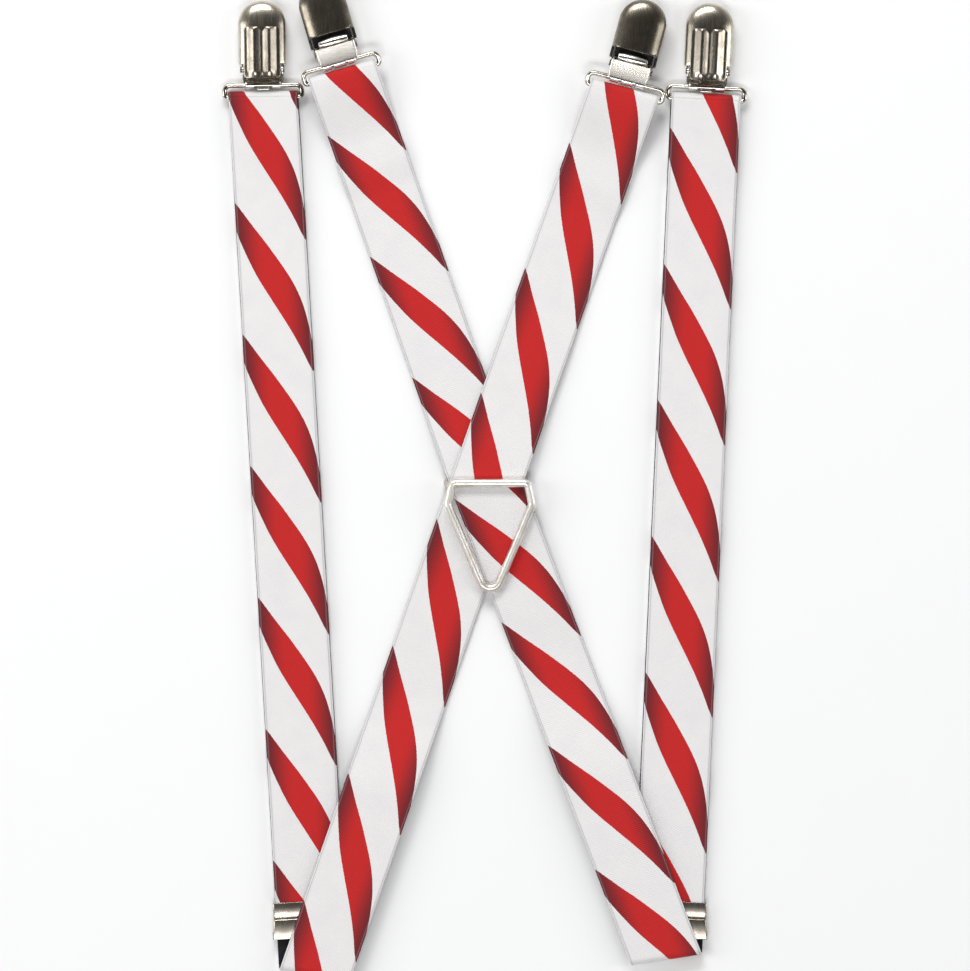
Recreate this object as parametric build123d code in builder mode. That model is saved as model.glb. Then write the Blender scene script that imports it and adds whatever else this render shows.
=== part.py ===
from build123d import *
import math
import os

# Lengths are in millimetres. The set lies flat: X to the wearer's clip row's right, Y from the folds
# towards the clips, Z up off the table. Every clip is drawn once in its own frame: u towards the jaw's
# tip, v across, w towards the lever, with the origin level with the ring's top bar.

# Webbing
STRAP_W = 25.4
STRAP_T = 1.2
LOOP_R = 1.0  # inside radius of a webbing loop around a ring wire
FOLD_R = 1.3  # inside radius of the bottom folds
LEVEL_UNDER = 0.8  # underside of the front run between ring and fold
LEVEL_UPPER = 2.1  # underside of the adjusting run
LEVEL_FOLDED = 4.6  # underside of the shoulder run where it lies on the front run
LEVEL_FLOOR = 0.1
LEVEL_CROSS_LOW = 2.1
LEVEL_CROSS_HIGH = 3.4

# Clip
WALL = 0.6
JAW_HALF = 8.6
JAW_RISE = 3.2
JAW_GAP = 0.5  # each jaw's rim stands this far from the middle plane
DOME_U = 21.7
BACK_U = 11.0
FRONT_U = 7.3
PAD_GAP = 0.15
PIN_U, PIN_W, PIN_R = 5.3, 1.8, 0.75
LEVER_U0, LEVER_U1, LEVER_HALF = 2.0, 20.5, 6.6
KNUCKLE_U, KNUCKLE_W, KNUCKLE_R = 7.6, -1.6, 1.4
EAR_IN, EAR_OUT = 6.9, 7.4
BACK_DEPTH = JAW_GAP + JAW_RISE
LEVER_TOP = 5.5

# Ring
WIRE_R = 0.9
RING_W = 28.0  # between wire centres
RING_H = 4.4
RING_CORNER = 1.2
BAR_W = -1.3  # w of the ring's top bar
REAR_PITCH = 16.0  # degrees that the rear clips' rings slope down

# Where each clip sits: ring bar centre, tilt of the tip from +Y towards +X
CLIPS = {
    "front_left": ((-80.5, 145.7), -0.8, 1),
    "front_right": ((80.0, 144.8), 2.9, 1),
    "rear_left": ((-52.7, 153.3), -16.3, -1),
    "rear_right": ((51.1, 146.6), 15.0, -1),
}

# Webbing centre lines
FRONT_RUN_END = {"left": (-62.1, -173.8), "right": (65.8, -168.3)}

# Cross ring
CROSS_Y = 1.6
CROSS_WIRE_R = 1.5

# Adjuster: p runs up the strap from its hinge pin
ADJ_FROM_FOLD = {"left": 13.3, "right": 7.8}
ADJ_PLATE_Z = 3.6


def direction(deg):
    # unit vector in the table's plane, tilted from +Y towards +X
    a = math.radians(deg)
    return Vector(math.sin(a), math.cos(a), 0)


def heading(a, b):
    return math.degrees(math.atan2(b[0] - a[0], b[1] - a[1]))


def ribbon(sections, thick=STRAP_T):
    # webbing through sections of (centre, across, up, width), faceted between them
    with BuildPart() as web:
        for centre, across, up, width in sections:
            across = Vector(*across).normalized()
            up = Vector(*up).normalized()
            with BuildSketch(Plane(origin=centre, x_dir=across, z_dir=across.cross(up))):
                Rectangle(width, thick)
        loft(ruled=True)
    return web.part


def smooth(t):
    t = min(1.0, max(0.0, t))
    return t * t * (3 - 2 * t)


UP = (0, 0, 1)
DOWN = (0, 0, -1)

# ---------------------------------------------------------------- clip, in its own frame


def jaw_solid(side, u0, half, rise, rim):
    with BuildPart() as jaw:
        with BuildSketch(Plane(origin=(u0, 0, side * rim), x_dir=(0, 1, 0), z_dir=(1, 0, 0))):
            Ellipse(half, rise)
            with Locations((0, -side * rise)):
                Rectangle(2 * half + 1, 2 * rise, mode=Mode.SUBTRACT)
        extrude(amount=DOME_U - u0)
    with BuildPart() as dome:
        with BuildSketch(Plane(origin=(DOME_U, 0, side * rim), x_dir=(0, 1, 0), z_dir=(1, 0, 0))):
            Ellipse(half, rise)
            with Locations((0, -side * rise)):
                Rectangle(2 * half + 1, 2 * rise, mode=Mode.SUBTRACT)
            with Locations((-half, 0)):
                Rectangle(2 * half, 3 * rise, mode=Mode.SUBTRACT)
        revolve(axis=Axis((DOME_U, 0, 0), (0, 0, 1)), revolution_arc=360)
        # keep the half beyond the straight part
        split(bisect_by=Plane(origin=(DOME_U, 0, 0), x_dir=(0, 1, 0), z_dir=(1, 0, 0)), keep=Keep.TOP)
    with BuildPart() as whole:
        add(jaw.part)
        add(dome.part)
    return whole.part


def cut_box(u0, u1, v0, v1, w0, w1, mode=Mode.ADD):
    # a box by its limits, inside the part being built
    with Locations(((u0 + u1) / 2, (v0 + v1) / 2, (w0 + w1) / 2)):
        Box(u1 - u0, v1 - v0, w1 - w0, mode=mode)


def make_back_body():
    outer = jaw_solid(-1, BACK_U, JAW_HALF, JAW_RISE, JAW_GAP)
    inner = jaw_solid(-1, BACK_U + WALL, JAW_HALF - WALL, JAW_RISE - WALL, JAW_GAP)
    with BuildPart() as back_body:
        add(outer)
        add(inner, mode=Mode.SUBTRACT)
        # base plate under the ring bar, with a centre tab
        cut_box(0.0, 5.9, -EAR_OUT, EAR_OUT, -2.9, -2.3)
        cut_box(-1.4, 0.0, -2.2, 2.2, -2.9, -2.3)
        for s in (-1, 1):
            a, b = sorted((s * EAR_IN, s * EAR_OUT))
            # rail from the base plate to the jaw
            cut_box(1.3, BACK_U + 0.4, a, b, -2.6, -0.7)
            # ear up to the pin
            with BuildSketch(Plane(origin=(0, a, 0), x_dir=(1, 0, 0), z_dir=(0, -1, 0))):
                with BuildLine():
                    Polyline(
                        (PIN_U - 1.25, PIN_W),
                        (PIN_U - 1.9, -0.8),
                        (PIN_U + 1.6, -0.8),
                        (PIN_U + 1.25, PIN_W),
                        (PIN_U - 1.25, PIN_W),
                    )
                make_face()
                with Locations((PIN_U, PIN_W)):
                    Circle(1.25)
            extrude(amount=-(b - a))
        # curls that hold the ring bar
        for s in (-1, 1):
            with BuildSketch(Plane(origin=(0, s * 4.75, BAR_W), x_dir=(1, 0, 0), z_dir=(0, -1, 0))):
                Circle(1.6)
            extrude(amount=1.55, both=True)
        with BuildSketch(Plane(origin=(0, 0, BAR_W), x_dir=(1, 0, 0), z_dir=(0, -1, 0))):
            Circle(LOOP_R)
        extrude(amount=7, both=True, mode=Mode.SUBTRACT)
        # pin holes
        with BuildSketch(Plane(origin=(PIN_U, 0, PIN_W), x_dir=(1, 0, 0), z_dir=(0, -1, 0))):
            Circle(PIN_R + 0.01)
        extrude(amount=10, both=True, mode=Mode.SUBTRACT)
    return back_body.part


def make_front_jaw():
    outer = jaw_solid(1, FRONT_U, JAW_HALF, JAW_RISE, JAW_GAP)
    inner = jaw_solid(1, FRONT_U + WALL, JAW_HALF - WALL, JAW_RISE - WALL, JAW_GAP)
    with BuildPart() as front_jaw:
        add(outer)
        add(inner, mode=Mode.SUBTRACT)
        # leg down to the rocking knuckle
        cut_box(FRONT_U, FRONT_U + WALL, -5.4, 5.4, KNUCKLE_W, JAW_GAP + 0.5)
        with BuildSketch(Plane(origin=(KNUCKLE_U, 0, KNUCKLE_W), x_dir=(1, 0, 0), z_dir=(0, -1, 0))):
            Circle(KNUCKLE_R)
        extrude(amount=5.4, both=True)
    return front_jaw.part


def make_pad(side, u0):
    cavity = jaw_solid(side, u0, JAW_HALF - WALL - 0.03, JAW_RISE - WALL - 0.03, JAW_GAP)
    with BuildPart() as pad:
        add(cavity)
        # only the top of the cavity is filled, and the face stands proud of the rim
        cut_box(0, 40, -10, 10, *sorted((side * 1.9, side * 6)), mode=Mode.SUBTRACT)
        with BuildSketch(Plane(origin=(0, 0, side * PAD_GAP))):
            with BuildLine():
                l1 = Line((u0, -7.4), (DOME_U, -7.4))
                l2 = ThreePointArc((DOME_U, -7.4), (DOME_U + 7.4, 0), (DOME_U, 7.4))
                l3 = Line((DOME_U, 7.4), (u0, 7.4))
                l4 = Line((u0, 7.4), (u0, -7.4))
            make_face()
        extrude(amount=side * 0.6)
        # grip grooves across the face
        for k in range(6):
            u = u0 + 1.6 + k * 2.6
            cut_box(u - 0.35, u + 0.35, -7.6, 7.6, *sorted((side * PAD_GAP, side * (PAD_GAP + 0.3))), mode=Mode.SUBTRACT)
    return pad.part


def make_lever():
    with BuildPart() as lever:
        # arched plate over the front jaw
        with BuildSketch(Plane(origin=(LEVER_U0, 0, 0), x_dir=(0, 1, 0), z_dir=(1, 0, 0))):
            with BuildLine():
                ThreePointArc((-LEVER_HALF, 3.6), (0, 5.2), (LEVER_HALF, 3.6))
                Line((LEVER_HALF, 3.6), (LEVER_HALF, 3.0))
                ThreePointArc((LEVER_HALF, 3.0), (0, 4.6), (-LEVER_HALF, 3.0))
                Line((-LEVER_HALF, 3.0), (-LEVER_HALF, 3.6))
            make_face()
        extrude(amount=LEVER_U1 - LEVER_U0)
        # two pressed ridges
        for s in (-1, 1):
            with BuildSketch(Plane(origin=(LEVER_U0 + 4.0, s * 3.2, 4.63), x_dir=(0, 1, 0), z_dir=(1, 0, 0))):
                Circle(0.62)
            extrude(amount=LEVER_U1 - LEVER_U0 - 6.5)
        # nothing of the ridges hangs below the plate
        with BuildSketch(Plane(origin=(LEVER_U0, 0, 0), x_dir=(0, 1, 0), z_dir=(1, 0, 0))):
            with BuildLine():
                ThreePointArc((-LEVER_HALF, 3.0), (0, 4.6), (LEVER_HALF, 3.0))
                Line((LEVER_HALF, 3.0), (LEVER_HALF, 2.0))
                Line((LEVER_HALF, 2.0), (-LEVER_HALF, 2.0))
                Line((-LEVER_HALF, 2.0), (-LEVER_HALF, 3.0))
            make_face()
        extrude(amount=LEVER_U1 - LEVER_U0, mode=Mode.SUBTRACT)
        # rounded corners
        with BuildSketch(Plane.XY):
            with Locations(((LEVER_U0 + LEVER_U1) / 2, 0)):
                RectangleRounded(LEVER_U1 - LEVER_U0, 2 * LEVER_HALF, 1.6)
        extrude(amount=8, mode=Mode.INTERSECT)
        # side flanges down to the pin
        for s in (-1, 1):
            a, b = sorted((s * 6.0, s * LEVER_HALF))
            with BuildSketch(Plane(origin=(0, a, 0), x_dir=(1, 0, 0), z_dir=(0, -1, 0))):
                with BuildLine():
                    Polyline(
                        (PIN_U - 1.2, PIN_W),
                        (PIN_U - 1.6, 3.3),
                        (PIN_U + 1.6, 3.3),
                        (PIN_U + 1.2, PIN_W),
                        (PIN_U - 1.2, PIN_W),
                    )
                make_face()
                with Locations((PIN_U, PIN_W)):
                    Circle(1.2)
            extrude(amount=-(b - a))
        with BuildSketch(Plane(origin=(PIN_U, 0, PIN_W), x_dir=(1, 0, 0), z_dir=(0, -1, 0))):
            Circle(PIN_R + 0.05)
        extrude(amount=10, both=True, mode=Mode.SUBTRACT)
    return lever.part


def make_pin():
    with BuildPart() as pin:
        with BuildSketch(Plane(origin=(PIN_U, 0, PIN_W), x_dir=(1, 0, 0), z_dir=(0, -1, 0))):
            Circle(PIN_R)
        extrude(amount=8.0, both=True)
        for s in (-1, 1):
            with BuildSketch(Plane(origin=(PIN_U, s * (EAR_OUT + 0.02), PIN_W), x_dir=(1, 0, 0), z_dir=(0, -1, 0))):
                Circle(1.05)
            extrude(amount=-s * 0.6)
    return pin.part


def make_ring():
    with BuildSketch(Plane(origin=(-RING_H / 2, 0, BAR_W))) as outline:
        RectangleRounded(RING_H, RING_W, RING_CORNER)
    path = outline.sketch.faces()[0].outer_wire()
    with BuildPart() as ring:
        with BuildSketch(Plane(origin=path @ 0, z_dir=path % 0)):
            Circle(WIRE_R)
        sweep(path=path)
    return ring.part


CLIP_PARTS = {
    "clip_body": make_back_body(),
    "front_jaw": make_front_jaw(),
    "back_pad": make_pad(-1, BACK_U + WALL + 0.2),
    "front_pad": make_pad(1, FRONT_U + WALL + 0.2),
    "lever": make_lever(),
    "hinge_pin": make_pin(),
    "ring": make_ring(),
}

parts = {}


def clip_frame(name):
    (x, y), tilt, side = CLIPS[name]
    z = BACK_DEPTH if side > 0 else LEVER_TOP
    return Plane(origin=(x, y, z), x_dir=direction(tilt), z_dir=(0, 0, side))


def loop_axis(name):
    # the ring's lower bar, which sits in the webbing loop
    (x, y), tilt, side = CLIPS[name]
    d = direction(tilt)
    pitch = 0 if side > 0 else REAR_PITCH
    z = clip_frame(name).origin.Z + side * BAR_W
    back = RING_H * math.cos(math.radians(pitch))
    return Vector(x, y, z) - d * back + Vector(0, 0, -RING_H * math.sin(math.radians(pitch)))


for clip in CLIPS:
    frame = clip_frame(clip)
    side = CLIPS[clip][2]
    for piece, solid in CLIP_PARTS.items():
        if piece == "ring" and side < 0:
            # the rear rings slope down from the clip to the webbing
            turned = solid.rotate(Axis((0, 0, BAR_W), (0, 1, 0)), REAR_PITCH)
            parts[clip + "_ring"] = frame.location * turned
        else:
            parts[clip + "_" + piece] = frame.location * solid

# ---------------------------------------------------------------- webbing


def loop_sections(clip, axis_point, d, start, turns, radius):
    # half turn of webbing around a ring's bar, from angle start, lying square to the bar
    out = []
    skewed = abs(direction(CLIPS[clip][1]).dot(d))
    d = direction(CLIPS[clip][1])
    across = Vector(d.Y, -d.X, 0)
    for k in range(turns + 1):
        a = math.radians(start - 180 * k / turns)
        spoke = d * math.cos(a) + Vector(0, 0, math.sin(a))
        out.append((axis_point + spoke * radius, across, spoke, STRAP_W / skewed))
    return out


MID = LOOP_R + STRAP_T / 2
folds = {}

for side in ("left", "right"):
    clip = "front_" + side
    end = FRONT_RUN_END[side]
    bar = loop_axis(clip)
    deg = heading(end, (bar.X, bar.Y))
    d = direction(deg)
    across = Vector(d.Y, -d.X, 0)
    # the webbing turns around the bar and runs back under itself to the fold
    far = 42.0
    z_loop_low, z_loop_high = bar.Z - MID, bar.Z + MID
    run = (Vector(end[0], end[1], 0) - Vector(bar.X, bar.Y, 0)).length
    base = Vector(bar.X, bar.Y, 0)

    # direction of the shoulder run as it leaves the fold, and the crease halfway between the two
    out_deg = {"left": 19.1, "right": -20.7}[side]
    crease = direction((deg + 180 + out_deg) / 2)
    if crease.X < 0:
        crease = crease * -1
    skew = crease.cross(Vector(0, 0, 1))  # across the crease, away from the webbing
    if skew.dot(d) > 0:
        skew = skew * -1
    slant = abs(crease.dot(across))
    wide = STRAP_W / slant

    sections = loop_sections(clip, bar, d, 90, 12, MID)
    for k in range(0, 9):
        s = far * k / 8
        z = z_loop_low + (LEVEL_UNDER + STRAP_T / 2 - z_loop_low) * smooth(s / far)
        if k:
            sections.append((base - d * s + Vector(0, 0, z), across, DOWN, STRAP_W))
    sections.append((Vector(end[0], end[1], 0) + d * 12 + Vector(0, 0, LEVEL_UNDER + STRAP_T / 2), across, DOWN, STRAP_W))
    sections.append((Vector(end[0], end[1], 0) + Vector(0, 0, LEVEL_UNDER + STRAP_T / 2), crease * (1 if crease.dot(across) > 0 else -1), DOWN, wide))
    parts[side + "_front_run"] = ribbon(sections)

    # adjusting run: from the loop down to the adjuster
    start_piece = sections[0]
    top = [start_piece]
    stop = run - ADJ_FROM_FOLD[side] - 8.0
    for k in range(1, 9):
        s = far * k / 8
        z = z_loop_high + (LEVEL_UPPER + STRAP_T / 2 - z_loop_high) * smooth(s / far)
        top.append((base - d * s + Vector(0, 0, z), across, UP, STRAP_W))
    top.append((base - d * stop + Vector(0, 0, LEVEL_UPPER + STRAP_T / 2), across, UP, STRAP_W))
    parts[side + "_adjusting_run"] = ribbon(top)
    folds[side] = (Vector(end[0], end[1], 0), d, across, crease, skew, wide, out_deg, deg)


CROSS = Vector(0.2, CROSS_Y, 0)

for side in ("left", "right"):
    start, d_in, across_in, crease, skew, wide, out_deg, in_deg = folds[side]
    lo = LEVEL_UNDER + STRAP_T / 2
    hi = LEVEL_FOLDED + STRAP_T / 2
    mid_z, r = (lo + hi) / 2, (hi - lo) / 2
    # along the crease, the webbing moves sideways as it turns
    step = math.tan(math.acos(min(1.0, abs(crease.dot(across_in))))) * math.pi * r
    drift = crease if (d_in * -1).dot(crease) > 0 else crease * -1
    c_dir = crease if crease.dot(across_in) > 0 else crease * -1
    sections = []
    turns = 12
    for k in range(turns + 1):
        a = -math.pi / 2 + math.pi * k / turns
        c = start + drift * (step * k / turns) + skew * (r * math.cos(a)) + Vector(0, 0, mid_z + r * math.sin(a))
        up = skew * (-math.cos(a)) + Vector(0, 0, -math.sin(a))
        sections.append((c, c_dir, up, wide))
    leave = sections[-1][0]
    low = Vector(leave.X, leave.Y, 0)
    # straight line from the fold to the cross, under the bar
    d_out = (CROSS - low).normalized()
    total = (CROSS - low).length
    on_top = side == "right"
    level_cross = LEVEL_CROSS_HIGH if on_top else LEVEL_CROSS_LOW
    out_across = Vector(d_out.Y, -d_out.X, 0) * -1
    if out_across.dot(c_dir) < 0:
        out_across = out_across * -1
    x_dir = Vector(1, 0, 0) if c_dir.X > 0 else Vector(-1, 0, 0)
    x_wide = STRAP_W / abs(out_across.X)
    up_y = low.Y + 62.0
    down_y = low.Y + 100.0
    first = 14.0
    for k in range(0, 13):
        y = low.Y + first + (down_y - low.Y - first) * k / 12
        z = hi if y <= up_y else hi + (LEVEL_FLOOR + STRAP_T / 2 - hi) * smooth((y - up_y) / (down_y - up_y))
        t = (y - low.Y) / (CROSS.Y - low.Y)
        p = low + (CROSS - low) * t
        sections.append((Vector(p.X, p.Y, z), x_dir, (0, 0, -1), x_wide))
    # rising to the cross
    y_split = -37.8
    y_flat = -62.0 if on_top else y_split
    extra = 1.3 if on_top else 0.0
    steps = 16
    for k in range(1, steps + 1):
        y = y_flat + (CROSS.Y - 0.05 - y_flat) * k / steps
        base_z = LEVEL_FLOOR + (LEVEL_CROSS_LOW - LEVEL_FLOOR) * smooth((y - y_split) / (CROSS.Y - y_split))
        lift = extra * smooth((y - y_flat) / (y_split - y_flat)) if on_top else 0.0
        t = (y - low.Y) / (CROSS.Y - low.Y)
        p = low + (CROSS - low) * t
        if k == 1:
            sections.append((Vector(low.X + (CROSS.X - low.X) * (y_flat - low.Y) / (CROSS.Y - low.Y), y_flat, LEVEL_FLOOR + STRAP_T / 2), x_dir, (0, 0, -1), x_wide))
        sections.append((Vector(p.X, p.Y, base_z + lift + STRAP_T / 2), x_dir, (0, 0, -1), x_wide))
    parts[side + "_shoulder_run"] = ribbon(sections)

for side in ("left", "right"):
    # from the cross up to the rear clip's ring, around it, and back underneath as a sewn tail
    clip = "rear_" + side
    bar = loop_axis(clip)
    on_top = side == "right"
    target = Vector(bar.X, bar.Y, 0)
    d = (target - CROSS).normalized()
    across = Vector(d.Y, -d.X, 0)
    x_wide = STRAP_W / abs(across.X)
    x_dir = Vector(1, 0, 0)
    y_split, y_flat = 37.2, (72.0 if on_top else 37.2)
    extra = 1.3 if on_top else 0.0
    sections = []
    steps = 16
    for k in range(0, steps + 1):
        y = CROSS.Y + 0.05 + (y_flat - CROSS.Y) * k / steps
        base_z = LEVEL_CROSS_LOW + (LEVEL_FLOOR - LEVEL_CROSS_LOW) * smooth((y - CROSS.Y) / (y_split - CROSS.Y))
        lift = extra * (1 - smooth((y - y_split) / (y_flat - y_split))) if on_top else 0.0
        t = (y - CROSS.Y) / (target.Y - CROSS.Y)
        p = CROSS + (target - CROSS) * t
        sections.append((Vector(p.X, p.Y, base_z + lift + STRAP_T / 2), x_dir, UP, x_wide))
    # the last stretch climbs over its own tail to the ring
    reach = (target - CROSS).length
    tail_len = 30.0
    z_top = bar.Z + MID
    z_low = bar.Z - MID
    lift_from = reach - tail_len - 18.0
    upper = LEVEL_FLOOR + STRAP_T + 0.1
    for s_back, z in [(tail_len + 16.0, LEVEL_FLOOR), (tail_len + 4.0, upper), (tail_len - 4.0, upper)]:
        p = target - d * s_back
        sections.append((Vector(p.X, p.Y, z + STRAP_T / 2), across, UP, STRAP_W))
    for k in range(1, 9):
        s_back = (tail_len - 4.0) * (1 - k / 8)
        z = upper + STRAP_T / 2 + (z_top - upper - STRAP_T / 2) * smooth(k / 8)
        p = target - d * s_back
        if k < 8:
            sections.append((Vector(p.X, p.Y, z), across, UP, STRAP_W))
    sections += loop_sections(clip, bar, d, 90, 12, MID)
    for k in range(1, 9):
        s_back = tail_len * k / 8
        z = z_low + (LEVEL_FLOOR + STRAP_T / 2 - z_low) * smooth(k / 7)
        p = target - d * s_back
        sections.append((Vector(p.X, p.Y, z), across, (0, 0, -1), STRAP_W))
    parts[side + "_rear_run"] = ribbon(sections)

# ---------------------------------------------------------------- cross ring

FALL = math.atan2(1.9, 38.1)
wire_plane = Plane(
    origin=(0, CROSS.Y, LEVEL_CROSS_HIGH + STRAP_T + 0.25 + CROSS_WIRE_R),
    x_dir=(1, 0, 0),
    z_dir=(0, -math.sin(FALL), math.cos(FALL)),
)
# wire pentagon, its straight bar up and its point down, sloping with the webbing under it
with BuildSketch(wire_plane) as pentagon:
    with BuildLine():
        Polyline((-12.0, 0), (-13.7, -7.8), (1.7, -44.0), (16.9, -7.8), (15.2, 0), (-12.0, 0))
    make_face()
    fillet(pentagon.vertices().sort_by(Axis.Y)[0], 3.8)
    fillet(pentagon.vertices().group_by(Axis.Y)[-1], 1.7)
    fillet([v for v in pentagon.vertices() if -8.5 < v.Y < -7.0], 3.0)
wire_path = pentagon.sketch.faces()[0].outer_wire()
with BuildPart() as cross_ring:
    with BuildSketch(Plane(origin=wire_path @ 0, z_dir=wire_path % 0)):
        Circle(CROSS_WIRE_R)
    sweep(path=wire_path)
    # flat bar behind the webbing, joined to the wire by a post at each end
    with BuildSketch(Plane.XY):
        with Locations((0.25, CROSS.Y)):
            SlotOverall(30.8, 2.8)
    extrude(amount=1.9)
    with BuildSketch(Plane(origin=(0, 0, 1.0))):
        with Locations((-14.15, CROSS.Y), (14.75, CROSS.Y)):
            Circle(0.75)
    extrude(amount=5.2)
    with BuildSketch(Plane(origin=(0, 0, 4.95))):
        with Locations((-13.6, CROSS.Y - 0.3)):
            RectangleRounded(2.6, 1.9, 0.7)
    extrude(amount=1.4)
parts["cross_ring"] = cross_ring.part

# ---------------------------------------------------------------- adjusters, in their own frame
# p up the strap from the hinge pin, q across, z up


def make_adjuster():
    top_p, low_p = 10.9, -2.3
    with BuildPart() as frame:
        outline = [(low_p, -14.2), (top_p - 6.2, -13.45), (top_p, -13.45), (top_p, 13.45), (top_p - 6.2, 13.45), (low_p, 14.2)]
        with BuildSketch(Plane(origin=(0, 0, 0.7))):
            with BuildLine():
                Polyline(*outline, outline[0])
            make_face()
        extrude(amount=3.5)
        inner = [(low_p - 1, -13.75), (top_p - 6.2, -12.95), (top_p + 1, -12.95), (top_p + 1, 12.95), (top_p - 6.2, 12.95), (low_p - 1, 13.75)]
        with BuildSketch(Plane(origin=(0, 0, 0))):
            with BuildLine():
                Polyline(*inner, inner[0])
            make_face()
        extrude(amount=ADJ_PLATE_Z, mode=Mode.SUBTRACT)
        # slot between the two plates
        with BuildSketch(Plane(origin=(0, 0, 3))):
            with Locations((5.1, 0)):
                Rectangle(0.6, 25.0)
        extrude(amount=2, mode=Mode.SUBTRACT)
        # pin holes
        with BuildSketch(Plane(origin=(0, 0, 2.8), x_dir=(1, 0, 0), z_dir=(0, -1, 0))):
            Circle(0.61)
        extrude(amount=20, both=True, mode=Mode.SUBTRACT)
    with BuildPart() as pin:
        with BuildSketch(Plane(origin=(0, 0, 2.8), x_dir=(1, 0, 0), z_dir=(0, -1, 0))):
            Circle(0.6)
        extrude(amount=14.1, both=True)
    with BuildPart() as cover:
        cut_box(2.7, top_p - 0.1, -12.7, 12.7, 0.0, 0.55)
        # clamping tooth row
        cut_box(7.4, 8.0, -11.0, 11.0, 0.5, 0.7)
        for s in (-1, 1):
            a, b = sorted((s * 12.75, s * 12.98))
            with BuildSketch(Plane(origin=(0, a, 0), x_dir=(1, 0, 0), z_dir=(0, -1, 0))):
                with BuildLine():
                    Polyline((-0.75, 2.8), (2.7, 0.0), (3.9, 0.0), (3.9, 0.55), (0.75, 2.9), (-0.75, 2.8))
                make_face()
                with Locations((0, 2.8)):
                    Circle(0.76)
            extrude(amount=-(b - a))
            c, e = sorted((s * 12.6, s * 12.98))
            cut_box(2.7, 3.9, c, e, 0.0, 0.55)
        with BuildSketch(Plane(origin=(0, 0, 2.8), x_dir=(1, 0, 0), z_dir=(0, -1, 0))):
            Circle(0.64)
        extrude(amount=20, both=True, mode=Mode.SUBTRACT)
    return {"adjuster_frame": frame.part, "adjuster_pin": pin.part, "adjuster_cover": cover.part}


adjuster = make_adjuster()
adjuster_at = {}
for side in ("left", "right"):
    end, d = folds[side][0], folds[side][1]
    origin = end + d * ADJ_FROM_FOLD[side]
    plane = Plane(origin=(origin.X, origin.Y, 0), x_dir=(d.X, d.Y, 0), z_dir=(0, 0, 1))
    adjuster_at[side] = (origin, d)
    for piece, solid in adjuster.items():
        parts[side + "_" + piece] = plane.location * solid

# ---------------------------------------------------------------- centre on the footprint and write

boxes = [p.bounding_box() for p in parts.values()]
low = Vector(min(b.min.X for b in boxes), min(b.min.Y for b in boxes), min(b.min.Z for b in boxes))
high = Vector(max(b.max.X for b in boxes), max(b.max.Y for b in boxes), max(b.max.Z for b in boxes))
shift = Vector(-(low.X + high.X) / 2, -(low.Y + high.Y) / 2, -low.Z)

os.makedirs("parts", exist_ok=True)
for name, solid in parts.items():
    placed = Location(shift) * solid
    placed.label = name
    export_step(placed, "parts/" + name + ".step")

print("shift", tuple(shift), "size", tuple(high - low), "count", len(parts))
for clip in CLIPS:
    f = clip_frame(clip)
    bar = loop_axis(clip) + shift
    print(clip, "frame", tuple(f.origin + shift), tuple(f.x_dir), tuple(f.z_dir), "lower bar", tuple(bar))
for side in ("left", "right"):
    print(side, "adjuster", tuple(adjuster_at[side][0] + shift), tuple(adjuster_at[side][1]))
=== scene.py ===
import math
import random

import bmesh
import bpy
from mathutils import Matrix, Vector, noise


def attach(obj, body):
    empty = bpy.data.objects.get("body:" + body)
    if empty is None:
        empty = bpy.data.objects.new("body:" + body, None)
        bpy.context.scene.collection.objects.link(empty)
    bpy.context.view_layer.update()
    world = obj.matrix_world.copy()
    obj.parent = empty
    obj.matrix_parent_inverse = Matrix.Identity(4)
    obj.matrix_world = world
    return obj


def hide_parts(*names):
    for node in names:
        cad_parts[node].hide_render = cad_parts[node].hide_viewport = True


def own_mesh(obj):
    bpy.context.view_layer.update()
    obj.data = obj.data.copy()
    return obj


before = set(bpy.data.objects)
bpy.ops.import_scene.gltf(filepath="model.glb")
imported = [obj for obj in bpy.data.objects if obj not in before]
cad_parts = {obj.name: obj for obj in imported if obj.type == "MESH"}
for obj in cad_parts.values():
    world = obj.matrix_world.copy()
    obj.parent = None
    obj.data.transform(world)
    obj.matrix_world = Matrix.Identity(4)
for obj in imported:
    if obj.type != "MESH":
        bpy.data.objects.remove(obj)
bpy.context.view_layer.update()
random.seed(7)
MM = 0.001

# ------------------------------------------------------------------ frame constants (mm), as in the CAD
SHIFT = Vector((0.27955072, -2.29707357, 0.0))
STRAP_W, STRAP_T = 25.4, 1.2
LOOP_R = 1.0
MID = LOOP_R + STRAP_T / 2
LEVEL_UNDER, LEVEL_UPPER, LEVEL_FOLDED, LEVEL_FLOOR = 0.8, 2.1, 4.6, 0.1
LEVEL_CROSS_LOW = 2.1
RING_H, RING_W, WIRE_R, BAR_W = 4.4, 28.0, 0.9, -1.3
REAR_PITCH = 16.0
BACK_DEPTH, LEVER_TOP = 3.7, 5.5
CLIPS = {
    "front_left": ((-80.5, 145.7), -0.8, 1),
    "front_right": ((80.0, 144.8), 2.9, 1),
    "rear_left": ((-52.7, 153.3), -16.3, -1),
    "rear_right": ((51.1, 146.6), 15.0, -1),
}
RUN_END = {"left": Vector((-62.1, -173.8, 0)), "right": Vector((65.8, -168.3, 0))}
ADJ_FROM_FOLD = {"left": 13.3, "right": 7.8}
CROSS = Vector((0.2, 1.6, 0))
PX = 0.3629  # mm of table for each stripe unit


def smooth(t):
    t = min(1.0, max(0.0, t))
    return t * t * (3 - 2 * t)


def direction(deg):
    a = math.radians(deg)
    return Vector((math.sin(a), math.cos(a), 0))


def clip_axes(name):
    (x, y), tilt, side = CLIPS[name]
    u = direction(tilt)
    w = Vector((0, 0, side))
    z = BACK_DEPTH if side > 0 else LEVER_TOP
    return Vector((x, y, z)), u, w.cross(u), w


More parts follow.
